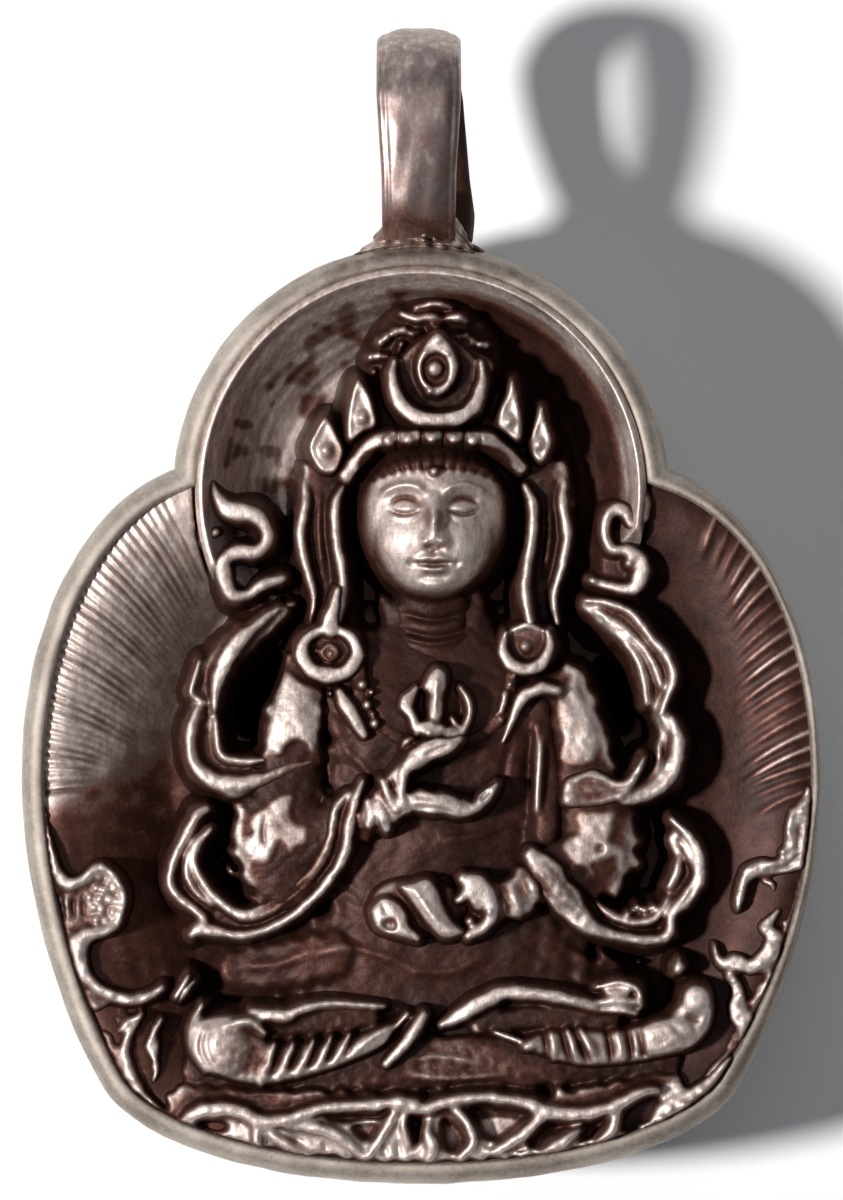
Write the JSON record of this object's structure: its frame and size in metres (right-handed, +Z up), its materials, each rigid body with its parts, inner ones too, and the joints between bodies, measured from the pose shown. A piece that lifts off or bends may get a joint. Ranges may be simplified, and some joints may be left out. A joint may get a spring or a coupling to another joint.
{
  "type": "amulet pendant",
  "caption": "Hollow silver pendant with a round halo over a wide body, a crowned figure seated in high relief, and a fixed hanging loop.",
  "frame": {"origin": "middle of the hanging loop's hole", "axes": "+Z up along the pendant towards the loop, +Y out of the back plate (the figure faces -Y), +X to the viewer's right, along the way a chain passes"},
  "size_m": [0.0332, 0.0087, 0.0479],
  "materials": {
    "bright_silver": "pale satin silver of the wall and the back, rubbed and slightly warm",
    "dark_silver": "dark brown oxidised silver, bright on the chased ridges",
    "worn_silver": "oxidised cast silver, polished bright on its high points",
    "loop_silver": "worn, polished silver band",
    "solder": "rough silver solder"
  },
  "bodies": {
    "root": {"back_plate": "bright_silver", "rim_wall": "bright_silver", "aureole_shell": "dark_silver", "halo_bowl": "dark_silver", "bail_loop": "loop_silver", "solder_foot": "solder", "raised_arm": "worn_silver", "vajra": "worn_silver", "lowered_arm": "worn_silver", "bell": "worn_silver", "leg_right": "worn_silver", "leg_left": "worn_silver", "crown_leaf_centre": "worn_silver", "crown_band": "worn_silver", "crown_leaf_inner_left": "worn_silver", "crown_leaf_inner_right": "worn_silver", "crown_leaf_outer_left": "worn_silver", "crown_leaf_outer_right": "worn_silver", "earring_left": "worn_silver", "earring_right": "worn_silver", "head": "worn_silver", "hair_ribbon_left": "worn_silver", "hair_ribbon_right": "worn_silver", "hair_knot": "worn_silver", "necklace": "worn_silver", "upper_scarf_left": "worn_silver", "upper_scarf_right": "worn_silver", "lower_scarf_left": "worn_silver", "lower_scarf_right": "worn_silver", "torso": "worn_silver", "lotus_base": "worn_silver", "halo_scroll_left": "worn_silver", "halo_scroll_right": "worn_silver", "side_scroll_left": "worn_silver", "side_scroll_right": "worn_silver"}
  },
  "joints": []
}
